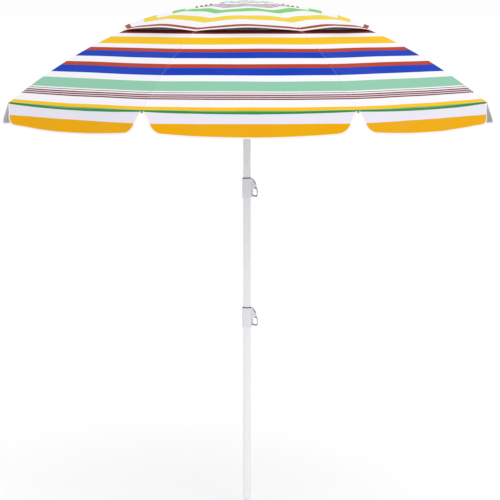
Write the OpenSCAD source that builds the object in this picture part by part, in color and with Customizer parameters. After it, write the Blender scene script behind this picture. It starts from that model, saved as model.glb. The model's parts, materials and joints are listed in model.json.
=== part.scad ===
// Beach umbrella with eight ribs, a vented double canopy, a loose valance and a
// three-piece telescoping pole locked by two spring clips.
// Millimetres, +Z up, origin at the point of the ground tip. The front panel faces -Y
// and the clips point to +X.

/* [Canopy] */
// Radius of the canopy at the rib tips
canopy_r = 920; // [700:10:1200]
// Height of the canopy's apex above the rib tips
canopy_rise = 350; // [260:5:420]
// Radius of the vent hole in the main canopy, at the ribs
vent_r = 330; // [200:5:400]
// Radius of the vent cap, at the ribs
cap_r = 476; // [420:2:560]
// Height by which the cap's hem arches up between two ribs
cap_billow = 21; // [5:1:35]
// Extra height of the cap over the crown
crown_peak = 16; // [12:1:30]
// Thickness of the cloth as a solid
cloth_t = 1; // [0.8:0.1:2]

/* [Valance] */
// Drop of the valance along its cloth
valance_h = 80; // [50:1:140]
// Angle by which the valance hangs outward
valance_flare = 22; // [0:1:30]
// Radius of a flap's lower corners
flap_corner_r = 40; // [20:1:45]
// Half width of the notch between two flaps, where the corner begins
notch_half_w = 30; // [12:1:50]

/* [Pole] */
// Outside diameter of the lower tube
lower_od = 32; // [28:0.5:42]
// Wall of every tube
tube_wall = 0.65; // [0.5:0.05:1]
// Clearance between two tubes, on the radius
slide_gap = 0.15; // [0.1:0.01:0.3]
// Length of the lower tube
lower_len = 745; // [700:5:1000]
// Length of the middle tube that stands out of the lower one
middle_out = 496; // [480:1:700]
// Length of the upper tube from the middle one to the rib pivots
upper_out = 649; // [620:1:800]
// Length of the middle tube kept inside the lower one
middle_in = 294; // [150:2:300]
// Length of the upper tube kept inside the middle one
upper_in = 245; // [130:5:320]

/* [Ground tip] */
// Length of the tip's cone
tip_len = 40; // [25:1:80]
// Radius of the blunt end
tip_end_r = 2.5; // [1:0.5:5]
// Length of the spigot inside the tube
tip_spigot = 30; // [15:1:32]

/* [Ribs and struts] */
// Radius of a rib's rod
rib_rod_r = 1.7; // [1.5:0.1:2]
// Radius of a strut's rod
strut_rod_r = 1.5; // [1.2:0.1:1.8]
// Radius from the pole's axis at which a strut meets its rib
strut_at_r = 240; // [200:5:260]
// Length of a strut between its pivots
strut_len = 277; // [250:1:300]
// Radius of the ball on a rib's tip
rib_ball_r = 2.6; // [2:0.1:3]

/* [Crown and runner] */
// Radius of the ring that the rib pivots lie on
pivot_ring_r = 22; // [21:0.5:26]
// Radius of the ring that the strut pivots lie on
runner_ring_r = 24; // [23:0.5:28]
// Height of the runner below its strut pivots
runner_below = 26; // [22:1:28]
// Height of the runner above its strut pivots
runner_above = 8; // [6:1:9]
// Clearance between the runner and the upper tube, on the radius
runner_gap = 0.35; // [0.2:0.05:0.8]

/* [Collars and clips] */
// Height of a collar
collar_h = 74; // [70:1:80]
// Wall of a collar
collar_wall = 3.3; // [2.5:0.1:4.5]
// Distance from a collar's top to its clip's pivot
clip_pivot_drop = 26; // [22:1:28]
// Distance from a collar's top to its locking pin
pin_drop = 66; // [60:1:68]
// Radius of the locking pin
pin_r = 2.3; // [2:0.1:3]
// Spacing of the locking holes in the upper tube
upper_pitch = 20; // [12:1:24]
// Spacing of the locking holes in the middle tube
middle_pitch = 66; // [30:1:68]
// Number of locking holes in a tube
hole_count = 7; // [2:1:7]

/* [Hidden] */
RIBS = 8;
STEP = 360 / RIBS;
HALF = STEP / 2;
eps = 0.01;
$fn = 64;

// Tube radii, from the lower tube inward
lower_r = lower_od / 2;
middle_r = lower_r - tube_wall - slide_gap;
upper_r = middle_r - tube_wall - slide_gap;

// Heights
lower_top = tip_len + lower_len;
middle_top = lower_top + middle_out;
pivot_z = middle_top + upper_out;
rib_drop = 3;
apex_z = pivot_z + rib_drop + canopy_rise * pow(pivot_ring_r / canopy_r, 2);
rim_z = apex_z - canopy_rise;
collar_lip = 2;

// Neck of a tube inside its collar, and the ring in the collar's top
neck_step = 0.25;
neck_gap = 1.5;
seal_wall = 1.9;
seal_proud = 3;

// Room round a locking pin in its hole and in its slot
hole_gap = 1.2;
slot_gap = 0.5;

// Strut pivots: on the rib, and on the runner below it
rib_pin_drop = 6;
strut_top_z = rib_z(strut_at_r) - rib_pin_drop;
strut_reach = strut_at_r - runner_ring_r;
strut_low_z = strut_top_z - sqrt(strut_len * strut_len - strut_reach * strut_reach);
strut_angle = atan2(strut_top_z - strut_low_z, -strut_reach);

// Pivot pins, eyes and slots
wire_r = 1;
eye_r = 3.2;
eye_bore_r = wire_r + 0.25;
eye_t = 2.6;
slot_w = eye_t + 1;
slot_floor = 0.8;
eye_room = 0.6;
rivet_r = 1.2;
rivet_bore_r = rivet_r + 0.25;
lug_t = 2.4;
lug_r = 3;
stem_len = 10;
stem_h = 3.4;
bar_h = 4;
bar_end = 8;
tine_t = 1.2;
tine_in = lug_t / 2 + 0.3;

// Crown: hub, washer and finial
hub_sleeve_r = upper_r + 2.4;
hub_flange_r = pivot_ring_r + 5;
hub_slot_r = min(hub_sleeve_r + slot_floor, pivot_ring_r - eye_r - eye_room);
hub_flange_h = 14;
hub_below = 24;
hub_plate_z = pivot_z + 6;
hub_top_z = pivot_z + 12;
tube_top_z = hub_plate_z;
stud_r = 4;
cap_in_r = hub_flange_r + 1;
cap_lift = cloth_t + 0.4;
peak_r = 300;
washer_z = cap_z(cap_in_r, 0) + cloth_t + 1;
washer_r = 32;
washer_h = 4;
washer_top_r = 14;
knob_r = 9;
knob_z = 17;

// Seam gap between neighbouring cloth panels, from the rib's plane
seam_gap = 0.4;

// Runner's flange
runner_flange_h = 12;

// Catch that the open runner rests on
catch_h = 6;
catch_w = 3;
catch_out = 3;
catch_in = 4;
catch_spring_len = 45;
catch_top_z = strut_low_z - runner_below - 0.5;

// Clip
clip_pivot_out = 9;
clip_w = 7.2;
ear_gap = 0.6;
ear_t = 2.5;
ear_in = 3;
ear_out = 8;
ear_top = 4;
ear_foot = 16;
clip_pin_r = 2;
spring_wire_r = 0.45;
spring_turns = 3;
spring_turn_r = 3.6;
spring_side = 0.4;
spring_room_r = 5.2;
rivet_head_r = 3;
rivet_head_t = 1.2;

function rib_names(stem) = [for (i = [0:RIBS - 1]) str(stem, "_", i + 1)];
function rib_az(i) = HALF + STEP * i;

// Underside of the cloth along a rib, and the rib's own centre line
function ridge_z(r) = apex_z - canopy_rise * pow(r / canopy_r, 2);
function ridge_slope(r) = -2 * canopy_rise * r / (canopy_r * canopy_r);
function rib_z(r) = ridge_z(r) - rib_drop;

// Underside of the vent cap: u runs from -1 to 1 between two ribs
function cap_z(r, u) =
    ridge_z(r) + cap_lift
    + (r < peak_r ? crown_peak * pow(1 - r / peak_r, 2) : 0)
    + cap_billow * pow(r / cap_r, 1.5) * (1 - u * u);

// Faces of a closed sheet or tube made of rings of `n` points each
function ring_faces(rings, n) = concat(
    [[for (j = [0:n - 1]) j]],
    [for (i = [0:rings - 2], j = [0:n - 1])
        [i * n + j, (i + 1) * n + j, (i + 1) * n + (j + 1) % n, i * n + (j + 1) % n]],
    [[for (j = [n - 1:-1:0]) (rings - 1) * n + j]]);

// A panel between two ribs, from radius r0 to r1, with its underside at height fz(r, u)
module panel(r0, r1, rows, cols, z_at) {
    radii = [for (i = [0:rows]) r0 + (r1 - r0) * i / rows];
    across = [for (j = [0:cols]) -1 + 2 * j / cols];
    rings = [for (r = radii) concat(
        [for (u = across)
            [r * cos(HALF), u * (r * sin(HALF) - seam_gap / cos(HALF)), z_at(r, u)]],
        [for (j = [cols:-1:0])
            [r * cos(HALF), across[j] * (r * sin(HALF) - seam_gap / cos(HALF)),
             z_at(r, across[j]) + cloth_t]])];
    polyhedron([for (ring = rings) each ring], ring_faces(rows + 1, 2 * (cols + 1)));
}

module canopy_panel(i) {
    color("white")
        rotate([0, 0, rib_az(i) + HALF])
            panel(vent_r, canopy_r, 12, 1, function(r, u) ridge_z(r));
}

module vent_panel(i) {
    color("gold")
        rotate([0, 0, rib_az(i) + HALF])
            panel(cap_in_r, cap_r, 10, 8, function(r, u) cap_z(r, u));
}

// Half a valance flap, from the middle of a panel to the notch at the rib
module half_flap() {
    half_w = canopy_r * sin(HALF);
    corner_x = valance_h - flap_corner_r;
    corner_y = half_w - notch_half_w - flap_corner_r;
    outline = concat(
        [[0.5, seam_gap], [valance_h, seam_gap]],
        [for (a = [90:-10:0]) [corner_x + flap_corner_r * sin(a),
                               corner_y + flap_corner_r * cos(a)]],
        [[0.5, half_w - 6]]);
    translate([canopy_r * cos(HALF), 0, rim_z])
        rotate([0, 90 - valance_flare, 0])
            linear_extrude(cloth_t) polygon(outline);
}

module valance(i) {
    color("gold") {
        rotate([0, 0, rib_az(i) - HALF]) half_flap();
        rotate([0, 0, rib_az(i) + HALF]) mirror([0, 1, 0]) half_flap();
    }
}

// Curved rod along the rib's centre line, with an eye at the crown, a lug for the strut
// and a ball on the tip
module rib(i) {
    start_r = pivot_ring_r + 7;
    end_r = canopy_r - rib_ball_r;
    rings = 16;
    sides = 8;
    points = [for (k = [0:rings], j = [0:sides - 1])
        let (
            r = start_r + (end_r - start_r) * k / rings,
            s = ridge_slope(r),
            n = sqrt(1 + s * s),
            a = 360 * j / sides,
            up = rib_rod_r * cos(a),
            side = -rib_rod_r * sin(a)
        ) [r - up * s / n, side, rib_z(r) + up / n]];
    color("silver") rotate([0, 0, rib_az(i)]) {
        difference() {
            union() {
                polyhedron(points, ring_faces(rings + 1, sides));
                translate([pivot_ring_r, 0, pivot_z])
                    rotate([90, 0, 0]) cylinder(h = eye_t, r = eye_r, center = true);
                translate([pivot_ring_r, -eye_t / 2, pivot_z - stem_h / 2])
                    cube([stem_len, eye_t, stem_h]);
            }
            translate([pivot_ring_r, 0, pivot_z])
                rotate([90, 0, 0]) cylinder(h = eye_t + 1, r = eye_bore_r, center = true);
        }
        translate([strut_at_r - lug_r, -lug_t / 2, strut_top_z])
            cube([2 * lug_r, lug_t, rib_pin_drop]);
        translate([strut_at_r, 0, strut_top_z]) rotate([90, 0, 0]) {
            cylinder(h = lug_t, r = lug_r, center = true);
            cylinder(h = 2 * (tine_in + tine_t) + 1, r = rivet_r, center = true);
        }
        translate([end_r, 0, rib_z(end_r) - rib_ball_r / 2]) sphere(rib_ball_r);
    }
}

// Straight rod with a fork at the rib and a flat eye at the runner
module strut(i) {
    web_x = 9;
    web_t = 3;
    color("silver")
        rotate([0, 0, rib_az(i)]) translate([strut_at_r, 0, strut_top_z])
            rotate([0, strut_angle, 0]) difference() {
                union() {
                    for (side = [-1, 1])
                        translate([0, side * (tine_in + tine_t / 2), 0]) {
                            rotate([90, 0, 0])
                                cylinder(h = tine_t, r = eye_r, center = true);
                            translate([0, -tine_t / 2, -bar_h / 2])
                                cube([web_x, tine_t, bar_h]);
                        }
                    translate([web_x - eps, -tine_in - tine_t, -bar_h / 2])
                        cube([web_t, 2 * (tine_in + tine_t), bar_h]);
                    translate([web_x + 2, 0, 0]) rotate([0, 90, 0])
                        cylinder(h = strut_len - web_x - bar_end, r = strut_rod_r);
                    translate([strut_len - bar_end, -eye_t / 2, -bar_h / 2])
                        cube([bar_end, eye_t, bar_h]);
                    translate([strut_len, 0, 0]) rotate([90, 0, 0])
                        cylinder(h = eye_t, r = eye_r, center = true);
                }
                rotate([90, 0, 0]) cylinder(h = 3 * eye_t, r = rivet_bore_r, center = true);
                translate([strut_len, 0, 0]) rotate([90, 0, 0])
                    cylinder(h = 3 * eye_t, r = eye_bore_r, center = true);
            }
}

// Round tube standing on height z
module tube(z, h, r, wall = tube_wall) {
    translate([0, 0, z]) difference() {
        cylinder(h = h, r = r);
        translate([0, 0, -1]) cylinder(h = h + 2, r = r - wall);
    }
}

// Row of locking holes on the +X side, starting at height z
module locking_holes(z, pitch) {
    for (k = [0:hole_count - 1])
        translate([0, 0, z + k * pitch]) rotate([0, 90, 0]) cylinder(h = lower_od, r = pin_r + hole_gap);
}

// Upright slot on the +X side through which a locking pin swings
module pin_slot(top) {
    slot_h = 2 * pin_r + 5;
    translate([0, -pin_r - slot_gap, top - pin_drop - slot_h / 2 - hole_gap])
        cube([lower_od, 2 * (pin_r + slot_gap), slot_h]);
}

// Tube standing on height z, necked in where it enters the collar on its top
module collared_tube(z, h, r) {
    neck = collar_h - collar_lip + neck_gap;
    tube(z, h - neck, r);
    tube(z + h - neck - eps, neck + eps, r - neck_step, tube_wall - neck_step);
}

module pole_lower() {
    color("whitesmoke") difference() {
        collared_tube(tip_len, lower_len, lower_r);
        pin_slot(lower_top + collar_lip);
    }
}

module pole_middle() {
    color("whitesmoke") difference() {
        collared_tube(lower_top - middle_in, middle_in + middle_out, middle_r);
        pin_slot(middle_top + collar_lip);
        locking_holes(lower_top + collar_lip - pin_drop, middle_pitch);
    }
}

module pole_upper() {
    color("whitesmoke") difference() {
        tube(middle_top - upper_in, tube_top_z - middle_top + upper_in, upper_r);
        locking_holes(middle_top + collar_lip - pin_drop, upper_pitch);
        translate([-upper_r - 1, -catch_w / 2 - 0.4, catch_top_z - catch_h - 0.5])
            cube([upper_r, catch_w + 0.8, catch_h + 1]);
    }
}

module ground_tip() {
    color("whitesmoke") {
        cylinder(h = tip_len, r1 = tip_end_r, r2 = lower_r);
        translate([0, 0, tip_len - eps])
            cylinder(h = tip_spigot + eps, r = lower_r - tube_wall);
    }
}

// Collar on the top of a tube of outside radius r, with two ears for the clip
module collar(top, r, inner_r) {
    out = r + collar_wall;
    pivot_x = out + clip_pivot_out;
    color("white") difference() {
        union() {
            translate([0, 0, top - collar_h]) cylinder(h = collar_h, r = out);
            for (side = [-1, 1])
                translate([0, side * (clip_w / 2 + ear_gap + ear_t / 2), top])
                    rotate([90, 0, 0]) linear_extrude(ear_t, center = true) polygon([
                        [out - ear_in, -ear_top], [pivot_x + ear_out, -clip_pivot_drop + 2],
                        [pivot_x + ear_out - 3, -clip_pivot_drop - 7],
                        [out - ear_in, -clip_pivot_drop - ear_foot]]);
        }
        translate([0, 0, top - collar_h - 1]) cylinder(h = collar_h + 1 - collar_lip, r = r - neck_step);
        translate([0, 0, top - collar_lip - eps]) cylinder(h = collar_lip + 1, r = inner_r + seal_wall);
        pin_slot(top);
        translate([pivot_x, 0, top - clip_pivot_drop])
            rotate([90, 0, 0]) cylinder(h = 2 * out, r = clip_pin_r, center = true);
    }
}

// Dark wiper ring set in the top of a collar
module seal_ring(top, inner_r) {
    color("dimgray") translate([0, 0, top - collar_lip]) difference() {
        cylinder(h = collar_lip + seal_proud, r = inner_r + seal_wall);
        translate([0, 0, -1]) cylinder(h = collar_lip + seal_proud + 2, r = inner_r + slide_gap);
    }
}

// Sprung finger loop that swings about the ears' pin and carries the locking pin
module clip(top, r, inner_r) {
    out = r + collar_wall;
    px = out + clip_pivot_out;
    pz = -clip_pivot_drop;
    color("gray") translate([0, 0, top]) difference() {
        union() {
            rotate([90, 0, 0]) linear_extrude(clip_w, center = true) difference() {
                hull() {
                    translate([px, pz]) circle(5.5, $fn = 32);
                    translate([px + 8, pz - 18]) circle(5, $fn = 32);
                    translate([px + 6, -pin_drop + 2]) circle(7, $fn = 32);
                    translate([out + 3, -pin_drop]) circle(2.4, $fn = 32);
                    translate([out + 3, pz - 9]) circle(2, $fn = 32);
                }
                hull() {
                    translate([px + 6, pz - 18]) circle(3, $fn = 32);
                    translate([px + 5, -pin_drop + 6]) circle(5, $fn = 32);
                    translate([out + 5, -pin_drop + 5]) circle(1.6, $fn = 32);
                    translate([out + 5, pz - 14]) circle(1.6, $fn = 32);
                }
            }
            translate([inner_r - tube_wall, 0, -pin_drop]) rotate([0, 90, 0])
                cylinder(h = out + 3 + tube_wall - inner_r, r = pin_r);
        }
        translate([px, 0, pz]) rotate([90, 0, 0])
            cylinder(h = clip_w + 2, r = clip_pin_r + 0.2, center = true);
        translate([px, -spring_side, pz]) rotate([90, 0, 0]) cylinder(h = clip_w, r = spring_room_r);
    }
}

module clip_pin(top, r) {
    px = r + collar_wall + clip_pivot_out;
    half = clip_w / 2 + ear_gap + ear_t;
    color("silver") translate([px, 0, top - clip_pivot_drop]) rotate([90, 0, 0]) {
        cylinder(h = 2 * half, r = clip_pin_r, center = true);
        for (side = [-1, 1])
            translate([0, 0, side * (half + rivet_head_t / 2)])
                cylinder(h = rivet_head_t, r = rivet_head_r, center = true);
    }
}

// Torsion spring around the clip's pin, its turns lying against each other
module clip_spring(top, r) {
    px = r + collar_wall + clip_pivot_out;
    color("silver") translate([px, -spring_side - 0.6, top - clip_pivot_drop]) rotate([90, 0, 0])
        for (k = [0:spring_turns - 1])
            translate([0, 0, spring_wire_r + k * (2 * spring_wire_r - eps)])
                rotate_extrude() translate([spring_turn_r, 0]) circle(spring_wire_r, $fn = 16);
}

module lower_collar() { collar(lower_top + collar_lip, lower_r, middle_r); }
module lower_seal_ring() { seal_ring(lower_top + collar_lip, middle_r); }
module lower_clip() { clip(lower_top + collar_lip, lower_r, middle_r); }
module lower_clip_pin() { clip_pin(lower_top + collar_lip, lower_r); }
module lower_clip_spring() { clip_spring(lower_top + collar_lip, lower_r); }
module upper_collar() { collar(middle_top + collar_lip, middle_r, upper_r); }
module upper_seal_ring() { seal_ring(middle_top + collar_lip, upper_r); }
module upper_clip() { clip(middle_top + collar_lip, middle_r, upper_r); }
module upper_clip_pin() { clip_pin(middle_top + collar_lip, middle_r); }
module upper_clip_spring() { clip_spring(middle_top + collar_lip, middle_r); }

// Radial slots of a pivot ring, one at each rib
module slots(from_r, low, high) {
    for (i = [0:RIBS - 1])
        rotate([0, 0, rib_az(i)])
            translate([from_r, -slot_w / 2, low]) cube([30, slot_w, high - low]);
}

module crown_hub() {
    color("white") difference() {
        union() {
            translate([0, 0, pivot_z - hub_below])
                cylinder(h = hub_top_z - pivot_z + hub_below, r = hub_sleeve_r);
            translate([0, 0, pivot_z - hub_flange_h / 2])
                cylinder(h = hub_flange_h, r = hub_flange_r);
        }
        translate([0, 0, pivot_z - hub_below - 1])
            cylinder(h = tube_top_z - pivot_z + hub_below + 1, r = upper_r);
        cylinder(h = hub_top_z + 1, r = stud_r);
        slots(hub_slot_r, pivot_z - hub_flange_h / 2 - 1, pivot_z + 4);
        translate([0, 0, pivot_z]) rotate_extrude()
            translate([pivot_ring_r, 0]) circle(wire_r + 0.05, $fn = 24);
    }
}

module crown_wire() {
    color("silver") translate([0, 0, pivot_z]) rotate_extrude()
        translate([pivot_ring_r, 0]) circle(wire_r, $fn = 24);
}

module crown_washer() {
    color("white") difference() {
        translate([0, 0, washer_z]) cylinder(h = washer_h, r1 = washer_r, r2 = washer_top_r);
        translate([0, 0, washer_z - 1]) cylinder(h = washer_h + 2, r = stud_r);
    }
}

module finial() {
    color("white") {
        translate([0, 0, hub_plate_z]) cylinder(h = washer_z + washer_h - hub_plate_z, r = stud_r);
        translate([0, 0, washer_z + washer_h - eps]) rotate_extrude()
            polygon(concat([[0, 0], [12, 0], [13, 2], [13, 6], [knob_r, 10]],
                           [for (a = [-40:10:90]) [knob_r * cos(a), knob_z + knob_r * sin(a)]]));
    }
}

module runner() {
    bore_r = upper_r + runner_gap;
    sleeve_r = runner_ring_r - 5;
    color("white") translate([0, 0, strut_low_z]) difference() {
        union() {
            translate([0, 0, -runner_below])
                cylinder(h = runner_below + runner_above, r = sleeve_r);
            translate([0, 0, -runner_flange_h / 2])
                cylinder(h = runner_flange_h, r = runner_ring_r + 4);
            translate([0, 0, -runner_below]) cylinder(h = 5, r = sleeve_r + 3);
        }
        translate([0, 0, -runner_below - 1])
            cylinder(h = runner_below + runner_above + 2, r = bore_r);
        slots(sleeve_r + slot_floor, -runner_flange_h / 2 - 1, runner_flange_h / 2 + 1);
    }
}

// Sprung catch in the upper tube: the open runner stands on its nose
module runner_catch() {
    color("silver") {
        translate([-upper_r - catch_out, -catch_w / 2, catch_top_z - catch_h])
            cube([catch_out + catch_in, catch_w, catch_h]);
        translate([-upper_r + catch_in - 1, -catch_w / 2, catch_top_z - catch_spring_len])
            cube([1, catch_w, catch_spring_len]);
    }
}

pole_lower();
ground_tip();
lower_collar();
lower_seal_ring();
lower_clip_pin();
lower_clip_spring();
lower_clip();
pole_middle();
upper_collar();
upper_seal_ring();
upper_clip_pin();
upper_clip_spring();
upper_clip();
pole_upper();
crown_hub();
crown_wire();
crown_washer();
finial();
runner();
runner_catch();
for (i = [0:RIBS - 1]) {
    rib(i);
    strut(i);
    canopy_panel(i);
    vent_panel(i);
    valance(i);
}
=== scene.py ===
"""Beach umbrella: a striped vented canopy with a loose flap valance, folding ribs and a three-part pole."""

import json
import logging
from dataclasses import dataclass, field
from enum import Enum
from math import atan2, copysign, cos, exp, hypot, pi, radians, sin, sqrt, tan
from typing import Any, Optional, Sequence, Union

import bmesh
import bpy
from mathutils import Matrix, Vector


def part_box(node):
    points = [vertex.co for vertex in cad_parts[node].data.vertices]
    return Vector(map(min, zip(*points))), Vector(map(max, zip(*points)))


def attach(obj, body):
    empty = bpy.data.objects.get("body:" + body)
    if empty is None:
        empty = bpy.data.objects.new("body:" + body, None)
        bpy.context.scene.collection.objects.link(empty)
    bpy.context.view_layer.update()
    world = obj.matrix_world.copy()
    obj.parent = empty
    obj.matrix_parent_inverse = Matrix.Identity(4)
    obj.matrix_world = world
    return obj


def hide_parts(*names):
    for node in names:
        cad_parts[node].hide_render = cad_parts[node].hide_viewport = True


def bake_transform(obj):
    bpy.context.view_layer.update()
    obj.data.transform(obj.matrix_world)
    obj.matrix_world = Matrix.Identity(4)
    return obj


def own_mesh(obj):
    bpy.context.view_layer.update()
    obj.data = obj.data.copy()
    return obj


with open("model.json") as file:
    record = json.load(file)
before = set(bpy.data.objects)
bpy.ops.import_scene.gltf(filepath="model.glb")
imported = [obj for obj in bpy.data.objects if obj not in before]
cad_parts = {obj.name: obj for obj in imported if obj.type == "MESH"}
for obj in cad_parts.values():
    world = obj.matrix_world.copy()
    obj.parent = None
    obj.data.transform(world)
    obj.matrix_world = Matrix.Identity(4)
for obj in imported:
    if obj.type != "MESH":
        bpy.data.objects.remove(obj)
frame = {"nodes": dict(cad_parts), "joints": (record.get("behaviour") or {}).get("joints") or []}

LOG = logging.getLogger("umbrella")
RIBS = 8
TURN = 2 * pi
STEP = TURN / RIBS
HALF = STEP / 2
UP = Vector((0.0, 0.0, 1.0))
CLOTH = 0.0007
SHARP_CLOTH, SHARP_PART = radians(55), radians(32)
WHITE = (1.0, 1.0, 1.0)

Material = bpy.types.Material
Piece = bpy.types.Object
Colour = tuple[float, float, float]
Stop = tuple[float, Colour]
Number = Union["Value", float]


def srgb(red: int, green: int, blue: int) -> Colour:
    """Turns a dyer's 0 to 255 colour into the linear one that shaders use."""
    return tuple((c / 255 / 12.92) if c <= 10 else ((c / 255 + 0.055) / 1.055) ** 2.4
                 for c in (red, green, blue))


def shade(colour: Colour, factor: float) -> Colour:
    """A colour made darker or lighter, no lighter than white."""
    return tuple(min(1.0, factor * c) for c in colour)


def polar(azimuth: float, away: float, side: float, height: float) -> Vector:
    """A point by how far it lies from the pole along an azimuth, how far left of it, and how high."""
    return Vector((away * cos(azimuth) - side * sin(azimuth),
                   away * sin(azimuth) + side * cos(azimuth), height))


def heading(path: Sequence[Vector], i: int) -> Vector:
    """The way a path runs at one of its points."""
    return (path[min(i + 1, len(path) - 1)] - path[max(i - 1, 0)]).normalized()


def oval(centre: Vector, wide: Vector, tall: Vector, steps: int) -> list[Vector]:
    """An oval around a centre, in so many steps to the half turn."""
    return [centre + wide * cos(k * pi / steps) + tall * sin(k * pi / steps)
            for k in range(2 * steps)]


def put(name: str, data: Any) -> Piece:
    """Adds an object to the scene.

    Args:
        name: Its name.
        data: The mesh, lamp or camera that it shows.

    Returns:
        The object.
    """
    made = bpy.data.objects.new(name, data)
    bpy.context.scene.collection.objects.link(made)
    return made


class Side(Enum):
    """Which way a half flap runs from its rib, seen from above."""

    LEFT = 1
    RIGHT = -1


class Value:
    """A number that varies over a surface, with the arithmetic of one."""

    def __init__(self, shop: "Finish", socket: bpy.types.NodeSocket) -> None:
        """Keeps the material that it lives in and the output socket that carries it."""
        self.shop = shop
        self.socket = socket

    def _op(self, operation: str, *terms: Number) -> "Value":
        """Adds one Math node over the terms."""
        node = self.shop.node("ShaderNodeMath", {"operation": operation}, dict(enumerate(terms)))
        return Value(self.shop, node.outputs[0])

    def __add__(self, other: Number) -> "Value":
        """Sum."""
        return self._op("ADD", self, other)

    __radd__ = __add__

    def __sub__(self, other: Number) -> "Value":
        """Difference."""
        return self._op("SUBTRACT", self, other)

    def __rsub__(self, other: float) -> "Value":
        """Difference from a number."""
        return self._op("SUBTRACT", other, self)

    def __mul__(self, other: Number) -> "Value":
        """Product."""
        return self._op("MULTIPLY", self, other)

    __rmul__ = __mul__

    def __truediv__(self, other: Number) -> "Value":
        """Quotient."""
        return self._op("DIVIDE", self, other)

    def __mod__(self, other: float) -> "Value":
        """What is left after whole steps, for a pattern that repeats."""
        return self._op("FLOORED_MODULO", self, other)

    def __lt__(self, other: Number) -> "Value":
        """One where it is smaller."""
        return self._op("LESS_THAN", self, other)

    def __gt__(self, other: Number) -> "Value":
        """One where it is larger."""
        return self._op("GREATER_THAN", self, other)

    def sine(self) -> "Value":
        """Sine of an angle in radians."""
        return self._op("SINE", self)


Term = Union[Value, float, Colour, Sequence[float]]


@dataclass
class Finish:
    """One procedural material, written as expressions; a kind of finish writes its own nodes.

    Attributes:
        name: Its name in a maker's words.
        colour: Its colour, where it has only one.
    """

    name: str
    colour: Colour = WHITE

    def __post_init__(self) -> None:
        """Starts the material with the point's place on its own piece, in metres, and writes its nodes."""
        self.material = bpy.data.materials.new(self.name)
        self.material.use_nodes = True
        self.tree = self.material.node_tree
        self.tree.nodes.clear()
        self.place = self.out(self.node("ShaderNodeTexCoord"), "Object")
        self.write()

    def write(self) -> None:
        """Writes the nodes; a bare finish is written from outside."""

    def node(self, kind: str, settings: Optional[dict[str, Any]] = None,
             sockets: Optional[dict[Union[int, str], Term]] = None) -> bpy.types.Node:
        """Adds a node.

        Args:
            kind: The node's type.
            settings: Its own settings, or a ramp's "stops" and "interpolation".
            sockets: Values or links for its input sockets, by index or name.

        Returns:
            The node.
        """
        made = self.tree.nodes.new(kind)
        for key, setting in (settings or {}).items():
            if key == "stops":
                self._set_stops(made, setting)
            elif key == "interpolation" and kind == "ShaderNodeValToRGB":
                made.color_ramp.interpolation = setting
            else:
                setattr(made, key, setting)
        for key, term in (sockets or {}).items():
            if isinstance(term, Value):
                self.tree.links.new(term.socket, made.inputs[key])
            elif isinstance(term, (int, float)):
                made.inputs[key].default_value = term
            else:
                size = len(made.inputs[key].default_value)
                made.inputs[key].default_value = (tuple(term) + (1.0,))[:size]
        return made

    @staticmethod
    def _set_stops(ramp: bpy.types.Node, stops: Sequence[Stop]) -> None:
        """Fills a colour ramp.

        Args:
            ramp: The ramp's node.
            stops: Each stop's position and colour.
        """
        elements = ramp.color_ramp.elements
        while len(elements) > 1:
            elements.remove(elements[-1])
        elements[0].position = stops[0][0]
        elements[0].color = (*stops[0][1], 1.0)
        for position, colour in stops[1:]:
            elements.new(position).color = (*colour, 1.0)

    def out(self, node: bpy.types.Node, output: Union[int, str] = 0) -> Value:
        """An output of a node as a value."""
        return Value(self, node.outputs[output])

    def attribute(self, name: str) -> Value:
        """A number stored on the mesh's points."""
        return self.out(self.node("ShaderNodeAttribute", {"attribute_name": name}), "Fac")

    def join(self, x: Term, y: Term, z: Term) -> Value:
        """A place from its three parts."""
        return self.out(self.node("ShaderNodeCombineXYZ", None, {0: x, 1: y, 2: z}))

    def stretch(self, x: float, y: float, z: float) -> Value:
        """The place scaled along each axis."""
        return self.out(self.node("ShaderNodeVectorMath", {"operation": "MULTIPLY"},
                                  {0: self.place, 1: (x, y, z)}))

    def noise(self, scale: float, detail: float = 2.0, roughness: float = 0.5,
              point: Optional[Value] = None) -> Value:
        """Soft random mottling around one half, by the place or another point."""
        return self.out(self.node("ShaderNodeTexNoise", None, {
            "Vector": point or self.place, "Scale": scale, "Detail": detail, "Roughness": roughness}))

    def mix(self, share: Term, base: Term, over: Term) -> Value:
        """A colour between two."""
        return self.out(self.node("ShaderNodeMix", {"data_type": "RGBA", "clamp_factor": True},
                                  {0: share, 6: base, 7: over}), 2)

    def bump(self, height: Value, depth: float, strength: float = 1.0,
             below: Optional[Value] = None) -> Value:
        """A normal raised by a height.

        Args:
            height: The height, from 0 to 1.
            depth: How deep that is, in metres.
            strength: How much of it shows.
            below: A coarser normal that it lies on.

        Returns:
            The normal.
        """
        sockets: dict[Union[int, str], Term] = {"Height": height, "Distance": depth, "Strength": strength}
        if below is not None:
            sockets["Normal"] = below
        return self.out(self.node("ShaderNodeBump", None, sockets))

    def surface(self, colour: Term, roughness: Term = 0.5, normal: Optional[Value] = None,
                **constants: Term) -> Material:
        """Ends the material with its shader.

        Args:
            colour: Base colour.
            roughness: How dull it is.
            normal: A bumped normal.
            constants: Other sockets of the shader, spaces written as underscores.

        Returns:
            The finished material.
        """
        sockets: dict[Union[int, str], Term] = {"Base Color": colour, "Roughness": roughness}
        if normal is not None:
            sockets["Normal"] = normal
        sockets.update({key.replace("_", " "): term for key, term in constants.items()})
        shader = self.node("ShaderNodeBsdfPrincipled", None, sockets)
        end = self.node("ShaderNodeOutputMaterial")
        self.tree.links.new(shader.outputs[0], end.inputs["Surface"])
        return self.material


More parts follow.
